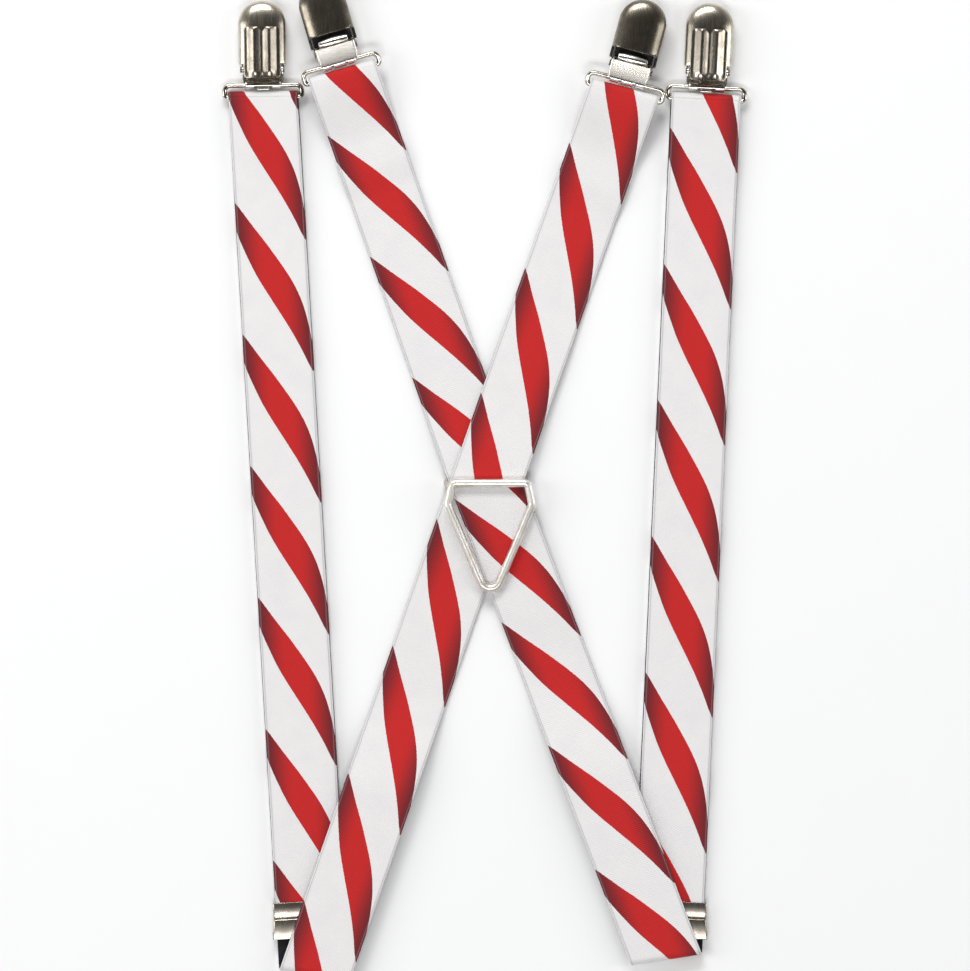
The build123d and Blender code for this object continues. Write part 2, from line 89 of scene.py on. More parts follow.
def lower_bar(name):
    o, u, v, w = clip_axes(name)
    side = CLIPS[name][2]
    pitch = math.radians(0 if side > 0 else REAR_PITCH)
    return Vector((o.x, o.y, o.z + side * BAR_W)) - u * (RING_H * math.cos(pitch)) - Vector((0, 0, RING_H * math.sin(pitch)))


# ------------------------------------------------------------------ camera
scene = bpy.context.scene
cam_data = bpy.data.cameras.new("camera")
cam = bpy.data.objects.new("camera", cam_data)
scene.collection.objects.link(cam)
CAM_H = 1.5
cam_data.sensor_width = 36.0
cam_data.lens = 36.0 * CAM_H / (970 * PX * MM)
cam_data.clip_start, cam_data.clip_end = 0.05, 20
cam.location = ((485.0 - 485.5) * PX * MM + SHIFT.x * MM, (487.5 - 485.5) * PX * MM + SHIFT.y * MM, CAM_H)
scene.camera = cam


# ------------------------------------------------------------------ node helpers
class Nodes:
    def __init__(self, name):
        self.mat = bpy.data.materials.new(name)
        self.mat.use_nodes = True
        self.t = self.mat.node_tree
        self.t.nodes.clear()
        self.out = self.t.nodes.new("ShaderNodeOutputMaterial")
        self.bsdf = self.t.nodes.new("ShaderNodeBsdfPrincipled")
        self.t.links.new(self.bsdf.outputs[0], self.out.inputs[0])

    def new(self, kind, **kw):
        n = self.t.nodes.new(kind)
        for k, v in kw.items():
            setattr(n, k, v)
        return n

    def link(self, a, b):
        self.t.links.new(a, b)

    def math(self, op, a, b=None, c=None, clamp=False):
        n = self.new("ShaderNodeMath", operation=op, use_clamp=clamp)
        for i, x in enumerate((a, b, c)):
            if x is None:
                continue
            if isinstance(x, (int, float)):
                n.inputs[i].default_value = x
            else:
                self.link(x, n.inputs[i])
        return n.outputs[0]

    def ramp(self, x, lo, hi, a=0.0, b=1.0, kind="SMOOTHSTEP"):
        n = self.new("ShaderNodeMapRange", interpolation_type=kind)
        self.link(x, n.inputs["Value"])
        for k, v in (("From Min", lo), ("From Max", hi), ("To Min", a), ("To Max", b)):
            if isinstance(v, (int, float)):
                n.inputs[k].default_value = v
            else:
                self.link(v, n.inputs[k])
        return n.outputs[0]

    def mix(self, f, a, b):
        n = self.new("ShaderNodeMix", data_type="RGBA")
        for sock, x in ((n.inputs[0], f), (n.inputs[6], a), (n.inputs[7], b)):
            if isinstance(x, (int, float)):
                sock.default_value = x
            elif isinstance(x, tuple):
                sock.default_value = (*x, 1.0)
            else:
                self.link(x, sock)
        return n.outputs[2]

    def curve(self, x, points):
        n = self.new("ShaderNodeFloatCurve")
        c = n.mapping.curves[0]
        c.points[0].location = points[0]
        c.points[-1].location = points[-1]
        for p in points[1:-1]:
            c.points.new(*p)
        n.mapping.update()
        self.link(x, n.inputs["Value"])
        return n.outputs[0]

    def noise(self, vec, scale, detail=2.0, rough=0.5):
        n = self.new("ShaderNodeTexNoise")
        n.inputs["Scale"].default_value = scale
        n.inputs["Detail"].default_value = detail
        n.inputs["Roughness"].default_value = rough
        if vec is not None:
            self.link(vec, n.inputs["Vector"])
        return n.outputs[0]

    def bump(self, height, strength, distance, normal=None):
        n = self.new("ShaderNodeBump")
        n.inputs["Strength"].default_value = strength
        n.inputs["Distance"].default_value = distance
        self.link(height, n.inputs["Height"])
        if normal is not None:
            self.link(normal, n.inputs["Normal"])
        return n.outputs[0]


def srgb(r, g, b):
    def f(c):
        c /= 255.0
        return c / 12.92 if c <= 0.04045 else ((c + 0.055) / 1.055) ** 2.4

    return (f(r), f(g), f(b))


# ------------------------------------------------------------------ printed elastic webbing
# stripe edges across the webbing: where red starts, and how wide it is, in stripe periods
START = [(-35, -0.385), (-32, -0.357), (-28, -0.312), (-24, -0.267), (-20, -0.221), (-12, -0.134), (-4, -0.046), (4, 0.048), (12, 0.145), (16, 0.198), (20, 0.257), (24, 0.327), (28, 0.415), (32, 0.545), (35, 0.70)]
WIDTH = [(-35, 0.215), (-32, 0.262), (-28, 0.297), (-24, 0.326), (-20, 0.352), (-12, 0.385), (-4, 0.405), (4, 0.417), (12, 0.428), (20, 0.434), (24, 0.428), (28, 0.41), (32, 0.345), (35, 0.22)]


def webbing_material():
    k = Nodes("printed_webbing")
    at = k.new("ShaderNodeAttribute", attribute_name="web")
    sep = k.new("ShaderNodeSeparateXYZ")
    k.link(at.outputs["Vector"], sep.inputs[0])
    cyc, across, side = sep.outputs  # stripe periods along, -1..1 across, 1 on the print side
    at2 = k.new("ShaderNodeAttribute", attribute_name="web_mm")
    sep2 = k.new("ShaderNodeSeparateXYZ")
    k.link(at2.outputs["Vector"], sep2.inputs[0])
    s_mm, t_mm = sep2.outputs[0], sep2.outputs[1]
    x01 = k.math("MULTIPLY_ADD", across, 0.5, 0.5, clamp=True)
    up = k.curve(x01, [((t + 35) / 70, (v + 0.4) / 1.2) for t, v in START])
    up = k.math("MULTIPLY_ADD", up, 1.2, -0.4)
    width = k.curve(x01, [((t + 35) / 70, v / 0.5) for t, v in WIDTH])
    width = k.math("MULTIPLY", width, 0.5)
    # the print's edge follows the threads
    grain = k.noise(at2.outputs["Vector"], 1.7, 2.0)
    wob = k.math("MULTIPLY_ADD", grain, 0.012, -0.006)
    f = k.math("FRACT", k.math("ADD", k.math("SUBTRACT", cyc, up), k.math("ADD", wob, 8.0)))
    edge = 0.009
    a = k.ramp(f, 0.0, edge)
    over = k.math("SUBTRACT", f, width)
    b = k.ramp(over, 0.0, edge, 1.0, 0.0)
    red = k.math("MULTIPLY", a, b)
    absx = k.math("ABSOLUTE", across)
    # painted shade: the red darkens towards both selvedges, as on a rounded band
    dark = k.ramp(absx, 0.25, 1.0)
    red_col = k.mix(dark, srgb(198, 13, 8), srgb(104, 9, 18))
    blot = k.noise(at2.outputs["Vector"], 0.12, 3.0)
    white_col = k.mix(blot, srgb(243, 241, 239), srgb(231, 229, 230))
    # painted shade: the white greys towards both outer edges
    white_edge_shade = k.ramp(absx, 0.86, 1.0, 0.0, 0.35)
    white_col = k.mix(white_edge_shade, white_col, srgb(205, 203, 208))
    ink = k.mix(red, white_col, red_col)
    # twill: fine diagonal ribs 0.7 mm apart with short threads across them
    diag = k.math("ADD", k.math("MULTIPLY", s_mm, 0.79), k.math("MULTIPLY", t_mm, 0.62))
    rib = k.math("SINE", k.math("MULTIPLY", diag, 2 * math.pi / 0.72))
    warp = k.math("SINE", k.math("MULTIPLY", t_mm, 2 * math.pi / 0.42))
    fine = k.noise(at2.outputs["Vector"], 3.1, 3.0, 0.6)
    cloth = k.math("ADD", k.math("MULTIPLY_ADD", rib, 0.34, 0.5), k.math("ADD", k.math("MULTIPLY", warp, 0.10), k.math("MULTIPLY_ADD", fine, 0.5, -0.25)))
    shade = k.ramp(cloth, 0.0, 1.0, 0.0, 0.2, "LINEAR")
    ink = k.mix(shade, ink, srgb(120, 112, 116))
    # selvedge: a woven cord either side, with a groove inside it
    groove = k.math("MULTIPLY", k.ramp(absx, 0.925, 0.945), k.ramp(absx, 0.955, 0.975, 1.0, 0.0))
    # painted shade: the groove is darkened in colour
    ink = k.mix(k.math("MULTIPLY", groove, 0.35), ink, srgb(140, 136, 142))
    back = k.mix(k.math("MULTIPLY_ADD", fine, 0.5, 0.1), srgb(20, 20, 24), srgb(46, 45, 52))
    print_side = k.ramp(side, 0.42, 0.58)
    k.link(k.mix(print_side, back, ink), k.bsdf.inputs["Base Color"])
    rough = k.math("MULTIPLY_ADD", fine, 0.22, 0.62)
    k.link(rough, k.bsdf.inputs["Roughness"])
    k.bsdf.inputs["Sheen Weight"].default_value = 0.08
    k.bsdf.inputs["Sheen Roughness"].default_value = 0.45
    k.bsdf.inputs["Specular IOR Level"].default_value = 0.15
    height = k.math("SUBTRACT", cloth, k.math("MULTIPLY", groove, 1.2))
    k.link(k.bump(height, 0.55, 0.00012), k.bsdf.inputs["Normal"])
    return k.mat


# ------------------------------------------------------------------ nickel
def metal_material(name, light, dark, rough=0.24, spread=0.16, brushed=True, reflection_mottle=0.25, scratch=0.5):
    k = Nodes(name)
    co = k.new("ShaderNodeTexCoord")
    vec = co.outputs["Object"]
    cloud = k.noise(vec, 160.0, 4.0, 0.6)
    broad = k.noise(vec, 45.0, 3.0)
    stretch = k.new("ShaderNodeMapping")
    k.link(vec, stretch.inputs["Vector"])
    stretch.inputs["Scale"].default_value = (2600.0, 190.0, 900.0)
    hair = k.noise(stretch.outputs[0], 1.0, 3.0, 0.65)
    col = k.mix(k.ramp(cloud, 0.35, 0.75), light, dark)
    # painted reflection: broad noise patches tint the metal olive-brown, the colour of the webbing and surroundings it
    # reflects
    col = k.mix(k.math("MULTIPLY", k.ramp(broad, 0.5, 0.8), reflection_mottle), col, srgb(104, 92, 78))
    k.link(col, k.bsdf.inputs["Base Color"])
    k.bsdf.inputs["Metallic"].default_value = 1.0
    r = k.math("ADD", k.math("MULTIPLY", cloud, spread), k.math("MULTIPLY_ADD", hair, spread * 0.8, rough - spread * 0.9))
    k.link(r, k.bsdf.inputs["Roughness"])
    h = k.math("ADD", k.math("MULTIPLY", hair, 1.0 if brushed else 0.25), k.math("MULTIPLY", cloud, 0.6))
    k.link(k.bump(h, scratch, 0.00003), k.bsdf.inputs["Normal"])
    return k.mat


def pad_material():
    k = Nodes("grip_pad")
    co = k.new("ShaderNodeTexCoord")
    n = k.noise(co.outputs["Object"], 900.0, 3.0)
    k.link(k.mix(n, srgb(18, 18, 19), srgb(38, 37, 36)), k.bsdf.inputs["Base Color"])
    k.link(k.math("MULTIPLY_ADD", n, 0.3, 0.42), k.bsdf.inputs["Roughness"])
    k.link(k.bump(n, 0.4, 0.00005), k.bsdf.inputs["Normal"])
    return k.mat


WEB = webbing_material()
JAW_BRIGHT = metal_material("jaw_nickel", srgb(214, 206, 190), srgb(178, 168, 150), rough=0.25, reflection_mottle=0.45, scratch=0.22)
# painted reflection: a darkened copy of the jaw nickel, for the dark surroundings the rear jaws reflect
JAW_PAINTED_DARK = metal_material("jaw_nickel_painted_dark", srgb(150, 142, 128), srgb(104, 97, 86), rough=0.28, reflection_mottle=0.35, scratch=0.3)
LEVER_METAL = metal_material("lever_nickel", srgb(196, 186, 172), srgb(156, 147, 134), rough=0.25, spread=0.14, reflection_mottle=0.4, scratch=0.22)
# painted reflection: a whitened copy of the nickel for the plates and knuckles, for the bright light they reflect
PLATE_PAINTED_BRIGHT = metal_material("base_nickel_painted_bright", srgb(246, 242, 235), srgb(222, 216, 206), rough=0.25, spread=0.06, reflection_mottle=0.15, scratch=0.03)
RING_METAL = metal_material("ring_wire", srgb(214, 208, 196), srgb(176, 170, 158), rough=0.19, spread=0.1, brushed=False, reflection_mottle=0.35, scratch=0.03)
# painted highlight: a near-white copy of the nickel for the cross ring
CROSS_PAINTED_BRIGHT = metal_material("cross_nickel_painted_bright", srgb(248, 246, 240), srgb(222, 216, 204), rough=0.42, spread=0.2, brushed=False, reflection_mottle=0.35, scratch=0.15)
ADJUSTER_METAL = metal_material("adjuster_nickel", srgb(196, 188, 176), srgb(150, 141, 130), rough=0.28, spread=0.1, reflection_mottle=0.4, scratch=0.05)
PIN_METAL = metal_material("pin_steel", srgb(120, 114, 106), srgb(84, 79, 73), rough=0.26, reflection_mottle=0.3)
PAD = pad_material()


# ------------------------------------------------------------------ webbing geometry
def profile():
    # (across -1..1, height -1..1, side) round the section, starting on the print side
    pts = []
    half, ht = STRAP_W / 2, STRAP_T / 2
    r = ht * 0.96
    n = 30
    for i in range(n + 1):
        t = -1 + 2 * i / n
        x = t * (half - r)
        crown = 0.0
        # a slightly raised selvedge cord and a shallow groove beside it are computed, but min keeps only the groove
        d = half - abs(x)
        crown += 0.05 * math.exp(-((d - 0.75) / 0.35) ** 2) - 0.07 * math.exp(-((d - 1.5) / 0.3) ** 2)
        pts.append((x, ht + min(crown, 0.0), 1.0))
    for i in range(1, 8):
        a = math.pi / 2 - math.pi * i / 8
        pts.append((half - r + r * math.cos(a), ht * math.sin(a), 1.0 if a > 0.25 else (0.5 if a > -0.1 else 0.0)))
    for i in range(n + 1):
        t = 1 - 2 * i / n
        pts.append((t * (half - r), -ht, 0.0))
    for i in range(1, 8):
        a = -math.pi / 2 - math.pi * i / 8
        pts.append((-(half - r) + r * math.cos(a), ht * math.sin(a), 1.0 if math.sin(a) > 0.25 else (0.5 if math.sin(a) > -0.1 else 0.0)))
    return pts


PROFILE = profile()


def make_web(name, surface, s_of, stops, phase, body="webbing", replaced=()):
    """surface(s, t) gives (point, print-side normal) in mm. s_of(k, t) gives s for a row and an offset across.
    stops is the row count. phase(s, t) gives stripe periods."""
    verts, web, mm = [], [], []
    rows = stops + 1
    m = len(PROFILE)
    for k in range(rows):
        for x, h, side in PROFILE:
            s = s_of(k / stops, x)
            wav = 0.07 * noise.noise(Vector((s * 0.11, 3.1 if x > 0 else 9.7, len(name) * 1.3))) + 0.035 * noise.noise(Vector((s * 0.6, 1.7 if x > 0 else 5.2, len(name))))
            xx = x - abs(wav) * (1 if x > 0 else -1) * max(0.0, (abs(x) - 10) / 2.7)
            p, nrm = surface(s, xx)
            q = p + nrm * h + SHIFT
            verts.append(q * MM)
            web.append((phase(s, x), x / (STRAP_W / 2), side))
            mm.append((s, x, 0.0))
    faces = []
    for k in range(rows - 1):
        for j in range(m):
            a, b = k * m + j, k * m + (j + 1) % m
            faces.append((a, b, b + m, a + m))
    # close both cut ends
    faces.append(tuple(range(m - 1, -1, -1)))
    faces.append(tuple((rows - 1) * m + j for j in range(m)))
    me = bpy.data.meshes.new(name)
    me.from_pydata([tuple(v) for v in verts], [], faces)
    for label, data in (("web", web), ("web_mm", mm)):
        att = me.attributes.new(label, "FLOAT_VECTOR", "POINT")
        att.data.foreach_set("vector", [c for v in data for c in v])
    me.validate()
    bm = bmesh.new()
    bm.from_mesh(me)
    bmesh.ops.recalc_face_normals(bm, faces=bm.faces)
    bm.to_mesh(me)
    bm.free()
    me.shade_smooth()
    ob = bpy.data.objects.new(name, me)
    scene.collection.objects.link(ob)
    me.materials.append(WEB)
    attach(ob, body)
    if replaced:
        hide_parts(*replaced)
    return ob


def numeric(point, flip=1.0):
    """surface with a normal from point(s, t), towards the print side: flip is the sign of (d/dt x d/ds)."""

    def surface(s, t):
        e = 0.05
        ps = point(s + e, t) - point(s - e, t)
        pt = point(s, t + e) - point(s, t - e)
        n = pt.cross(ps).normalized() * flip
        return point(s, t), n

    return surface


MEASURE = {  # stripe origin on the table, direction end, offset of the first stripe, stripe period
    "FL": ((263.9, 80), (311.3, 908), 40.5, 131.3),
    "FR": ((708.9, 80), (668.3, 908), 102.5, 135.8),
    "NW": ((341.5, 80), (486, 483), 97.5, 127.75),
    "SE": ((486, 483), (663.5, 951), 54.0, 131.3),
    "NE": ((628, 80), (486, 483), 129.5, 132.2),
    "SW": ((486, 483), (319.6, 966), 100.5, 134.0),
}


def stripe(key):
    (x0, y0), (x1, y1), first, period = MEASURE[key]
    a = Vector(((x0 - 485.5) * PX, (487.5 - y0) * PX, 0))
    b = Vector(((x1 - 485.5) * PX, (487.5 - y1) * PX, 0))
    d = (b - a).normalized()

    def phase(p):
        return ((p - a).dot(d) / PX - first) / period

    return phase, period * PX


webs = {}
for side in ("left", "right"):
    sgn = -1 if side == "left" else 1
    clip = "front_" + side
    bar = lower_bar(clip)
    end = RUN_END[side]
    base = Vector((bar.x, bar.y, 0))
    run = (base - end).length
    d = (base - end).normalized()
    across = Vector((d.y, -d.x, 0))
    ring_d = direction(CLIPS[clip][1])
    ring_across = Vector((ring_d.y, -ring_d.x, 0))
    z_lo, z_hi = bar.z - MID, bar.z + MID
    far = 42.0

    def lateral(dist, across=across, ring_across=ring_across):
        return ring_across.lerp(across, smooth(dist / far)).normalized()

    # ---- adjusting run, print up; s from the ring loop down
    stop = run - ADJ_FROM_FOLD[side] - 8.0

    def upper(s, t, base=base, d=d, lateral=lateral, z_hi=z_hi, sgn=sgn):
        z = z_hi + (LEVEL_UPPER + STRAP_T / 2 - z_hi) * smooth(s / far)
        bow = 0.45 * math.sin(math.pi * min(1.0, max(0.0, s / 290.0)))
        return base - d * s + lateral(s) * (t * 0.985) + across_bow(sgn, bow) + Vector((0, 0, z))

    def across_bow(sgn, bow):
        return Vector((0.0, 0, 0)) if bow is None else Vector((-sgn * bow * 0.0 + 0.12 * bow, 0, 0))

    ph, _ = stripe("FL" if side == "left" else "FR")

    def phase_up(s, t, base=base, d=d, lateral=lateral, ph=ph):
        return ph(base - d * s)

    top = make_web(side + "_adjusting_webbing", numeric(upper, -1.0), lambda f, t, stop=stop: f * stop, 300, phase_up, replaced=(side + "_adjusting_run",))
    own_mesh(top)

    # ---- the long length: loop, under-layer, fold, and over the back to the cross
    lo, hi = LEVEL_UNDER + STRAP_T / 2, LEVEL_FOLDED + STRAP_T / 2
    mid_z, r = (lo + hi) / 2, (hi - lo) / 2
    deg_in = math.degrees(math.atan2(d.x, d.y))
    leave = end.copy()
    for _ in range(4):
        chord = CROSS - leave
        deg_out = math.degrees(math.atan2(chord.x, chord.y))
        crease = direction((deg_in + 180 + deg_out) / 2)
        if crease.x < 0:
            crease = -crease
        out = Vector((crease.y, -crease.x, 0))
        if out.dot(d) > 0:
            out = -out
        # in the flat strip: travel is -d, and across is the same
        m_s, m_t = (-d).dot(out), across.dot(out)
        f_s, f_t = (-d).dot(crease), across.dot(crease)
        # centre line after the turn: where t = 0 has gone past the bend
        s_bend = math.pi * r / m_s
        leave = end + crease * (s_bend * f_s)
    top_dir = (CROSS - leave).normalized()
    up_y, down_y = leave.y + 62.0, leave.y + 100.0
    y_split = -37.8
    on_top = side == "right"
    y_flat = -62.0

    def height(y, hi=hi, up_y=up_y, down_y=down_y, on_top=on_top):
        if y <= down_y:
            return hi + (LEVEL_FLOOR + STRAP_T / 2 - hi) * smooth((y - up_y) / (down_y - up_y))
        z = LEVEL_FLOOR + (LEVEL_CROSS_LOW - LEVEL_FLOOR) * smooth((y - y_split) / (CROSS.y - y_split))
        if on_top:
            z += 1.3 * smooth((y - y_flat) / (y_split - y_flat))
        return z + STRAP_T / 2

    def long_point(s, t, end=end, d=d, base=base, lateral=lateral, run=run, z_lo=z_lo, lo=lo, r=r, mid_z=mid_z, crease=crease, out=out, m_s=m_s, m_t=m_t, f_s=f_s, f_t=f_t, bar=bar, ring_d=ring_d, ring_across=ring_across, height=height, hi=hi, leave=leave):
        # s is 0 on the crease, positive past it
        if s < -run:
            a = math.radians(-90) + (-run - s) / MID
            spoke = ring_d * math.cos(a) + Vector((0, 0, math.sin(a)))
            return bar + spoke * MID + ring_across * t
        p = s * m_s + t * m_t
        c = s * f_s + t * f_t
        if p <= 0:
            back = run + s
            z = z_lo + (lo - z_lo) * smooth(back / far)
            if back < far:
                return base - d * back + lateral(back) * t + Vector((0, 0, z))
            return end - d * s + Vector((d.y, -d.x, 0)) * t + Vector((0, 0, z))
        if p < math.pi * r:
            a = p / r
            return end + crease * c + out * (r * math.sin(a)) + Vector((0, 0, mid_z - r * math.cos(a)))
        q = end + crease * c - out * (p - math.pi * r)
        return Vector((q.x, q.y, height(q.y)))

    # last row ends level under the cross ring's bar
    def s_range(f, t, run=run, long_point=long_point, m_s=m_s, r=r, leave=leave):
        s0 = -run - math.pi * MID
        key = round(t, 3)
        if key not in s_cache:
            a, b = 100.0, 300.0
            for _ in range(40):
                mid = (a + b) / 2
                if long_point(mid, t).y < CROSS.y - 0.05:
                    a = mid
                else:
                    b = mid
            s_cache[key] = a
        # rows are denser around both bends
        s1 = s_cache[key]
        n1, n2, n3 = 0.05, 0.40, 0.52
        if f < n1:
            return s0 + (f / n1) * (math.pi * MID)
        if f < n2:
            return -run + (f - n1) / (n2 - n1) * (run - 9.0)
        if f < n3:
            return -9.0 + (f - n2) / (n3 - n2) * 24.0
        return 15.0 + (f - n3) / (1 - n3) * (s1 - 15.0)

    s_cache = {}
    ph_front, _ = stripe("FL" if side == "left" else "FR")
    ph_back, per = stripe("SW" if side == "left" else "SE")
    ref = long_point(100.0, 0.0)
    ref_phase = ph_back(Vector((ref.x, ref.y, 0)))

    # the print runs on from the upper layer round the ring; the drift that leaves is spread along the hidden layer
    top_phase = ph_front(base)
    own = ref_phase - (-run - math.pi * MID - 100.0) / per
    drift = own - top_phase
    drift -= round(drift)

    def phase_long(s, t, ref_phase=ref_phase, per=per, run=run, drift=drift):
        return ref_phase - (s - 100.0) / per - drift * (1 - smooth((s + run - 15.0) / (run - 45.0)))

    long_web = make_web(side + "_long_webbing", numeric(long_point, 1.0), s_range, 520, phase_long, replaced=(side + "_front_run", side + "_shoulder_run"))
    webs[side] = long_web

    # ---- rear run: cross to the rear clip's ring, round it, and a tail underneath
    clip = "rear_" + side
    bar = lower_bar(clip)
    target = Vector((bar.x, bar.y, 0))
    d2 = (target - CROSS).normalized()
    across2 = Vector((d2.y, -d2.x, 0))
    ring_d2 = direction(CLIPS[clip][1])
    ring_across2 = Vector((ring_d2.y, -ring_d2.x, 0))
    reach = (target - CROSS).length
    z_top, z_low = bar.z + MID, bar.z - MID
    tail = 30.0
    y_sp, y_fl = 37.2, 72.0
    rear_top = side == "right"
    climb = LEVEL_FLOOR + STRAP_T + 0.1

    def rear_point(s, t, d2=d2, across2=across2, ring_d2=ring_d2, ring_across2=ring_across2, reach=reach, z_top=z_top, z_low=z_low, bar=bar, target=target, rear_top=rear_top):
        # s from the cross up to the loop, then round it and back along the tail
        turn = math.pi * MID
        if s > reach + turn:
            back = s - reach - turn
            z = z_low + (LEVEL_FLOOR + STRAP_T / 2 - z_low) * smooth(back / (tail * 7 / 8))
            side_dir = ring_across2.lerp(across2, smooth(back / 24.0)).normalized()
            q = target - d2 * back + side_dir * t
            return Vector((q.x, q.y, z))
        if s > reach:
            a = math.radians(90) - (s - reach) / MID
            spoke = ring_d2 * math.cos(a) + Vector((0, 0, math.sin(a)))
            return bar + spoke * MID + ring_across2 * t
        back = reach - s
        side_dir = ring_across2.lerp(across2, smooth(back / 24.0)).normalized()
        q = target - d2 * back + side_dir * t
        y = q.y
        z = LEVEL_CROSS_LOW + (LEVEL_FLOOR - LEVEL_CROSS_LOW) * smooth((y - CROSS.y) / (y_sp - CROSS.y))
        if rear_top:
            z += 1.3 * (1 - smooth((y - y_sp) / (y_fl - y_sp)))
        z += STRAP_T / 2
        if back < tail + 16:
            z = LEVEL_FLOOR + STRAP_T / 2 + (climb - LEVEL_FLOOR) * smooth((tail + 16 - back) / 12.0)
        if back < tail - 4:
            z = climb + STRAP_T / 2 + (z_top - climb - STRAP_T / 2) * smooth(1 - back / (tail - 4))
        return Vector((q.x, q.y, z))

    def rear_range(f, t, reach=reach, rear_point=rear_point):
        key = round(t, 3)
        if key not in r_cache:
            a, b = -30.0, 60.0
            for _ in range(40):
                mid = (a + b) / 2
                if rear_point(mid, t).y < CROSS.y + 0.05:
                    a = mid
                else:
                    b = mid
            r_cache[key] = b
        s0 = r_cache[key]
        turn = math.pi * MID
        if f < 0.7:
            return s0 + f / 0.7 * (reach - s0)
        if f < 0.82:
            return reach + (f - 0.7) / 0.12 * turn
        return reach + turn + (f - 0.82) / 0.18 * tail

    r_cache = {}
    ph_rear, per2 = stripe("NE" if side == "right" else "NW")
    p0 = rear_point(60.0, 0.0)
    rp = ph_rear(Vector((p0.x, p0.y, 0)))

    def phase_rear(s, t, rp=rp, per2=per2):
        return rp - (s - 60.0) / per2

    rear = make_web(side + "_rear_webbing", numeric(rear_point, 1.0), rear_range, 320, phase_rear, replaced=(side + "_rear_run",))

# ------------------------------------------------------------------ pressed metal
def finish_mesh(name, verts, faces, material, body, replaced, bevel=0.0):
    me = bpy.data.meshes.new(name)
    me.from_pydata([tuple(v) for v in verts], [], faces)
    bm = bmesh.new()
    bm.from_mesh(me)
    bmesh.ops.remove_doubles(bm, verts=bm.verts, dist=2e-6)
    bmesh.ops.recalc_face_normals(bm, faces=bm.faces)
    if bevel:
        sharp = [e for e in bm.edges if len(e.link_faces) == 2 and e.calc_face_angle(0) > math.radians(50)]
        bmesh.ops.bevel(bm, geom=sharp, offset=bevel * MM, segments=2, profile=0.5, affect="EDGES", clamp_overlap=True)
    for f in bm.faces:
        f.smooth = True
    for e in bm.edges:
        e.smooth = len(e.link_faces) != 2 or e.calc_face_angle(0) < math.radians(38)
    bm.to_mesh(me)
    bm.free()
    ob = bpy.data.objects.new(name, me)
    scene.collection.objects.link(ob)
    me.materials.append(material)
    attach(ob, body)
    if replaced:
        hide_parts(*replaced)
    return ob


def join_grids(outer, inner, base, verts, faces, closed=False):
    """outer and inner are rows of points of the same size; the rims between them are closed."""
    n, m = len(outer), len(outer[0])
    for g in (outer, inner):
        for row in g:
            verts.extend(row)
    off = n * m

    def at(g, i, j):
        return base + g * off + i * m + j

    for i in range(n - 1):
        for j in range(m if closed else m - 1):
            k = (j + 1) % m
            faces.append((at(0, i, j), at(0, i, k), at(0, i + 1, k), at(0, i + 1, j)))
            faces.append((at(1, i, j), at(1, i + 1, j), at(1, i + 1, k), at(1, i, k)))
    for j in range(m if closed else m - 1):
        k = (j + 1) % m
        faces.append((at(0, 0, j), at(1, 0, j), at(1, 0, k), at(0, 0, k)))
        faces.append((at(0, n - 1, j), at(0, n - 1, k), at(1, n - 1, k), at(1, n - 1, j)))
    if not closed:
        for i in range(n - 1):
            faces.append((at(0, i, 0), at(0, i + 1, 0), at(1, i + 1, 0), at(1, i, 0)))
            faces.append((at(0, i, m - 1), at(1, i, m - 1), at(1, i + 1, m - 1), at(0, i + 1, m - 1)))
    return base + 2 * off


def offset_grid(grid, depth):
    """the same rows moved in by depth along the local normal (row direction x column direction)."""
    n, m = len(grid), len(grid[0])
    out = []
    for i in range(n):
        row = []
        for j in range(m):
            a = grid[min(i + 1, n - 1)][j] - grid[max(i - 1, 0)][j]
            b = grid[i][min(j + 1, m - 1)] - grid[i][max(j - 1, 0)]
            row.append(grid[i][j] + a.cross(b).normalized() * depth)
        out.append(row)
    return out


def offset_sign(grid):
    """true if row x column points away from the top of the plate, so that a positive offset goes inwards."""
    i, j = len(grid) // 2, len(grid[0]) // 2
    a = grid[i + 1][j] - grid[i - 1][j]
    b = grid[i][j + 1] - grid[i][j - 1]
    return a.cross(b).z < 0


def jaw_height(r, radius, rise):
    q = min(1.0, r / radius)
    return rise * (1 - q ** 2.5) ** (1 / 2.2)


def jaw_grid(u0, radius, rise, sign):
    rows = []
    us = [u0 + (21.7 - u0) * i / 14 for i in range(15)]
    ps = [math.radians(90 * i / 26) for i in range(1, 27)]
    cols = [math.radians(-90 + 180 * j / 56) for j in range(57)]
    for u in us:
        rows.append([Vector((u, radius * math.sin(t), sign * (0.5 + jaw_height(abs(radius * math.sin(t)), radius, rise)))) for t in cols])
    for p in ps:
        half = radius * math.cos(p)
        uu = radius * math.sin(p)
        row = []
        for t in cols:
            v = half * math.sin(t)
            row.append(Vector((21.7 + uu, v, sign * (0.5 + jaw_height(math.hypot(uu, v), radius, rise)))))
        rows.append(row)
    return rows


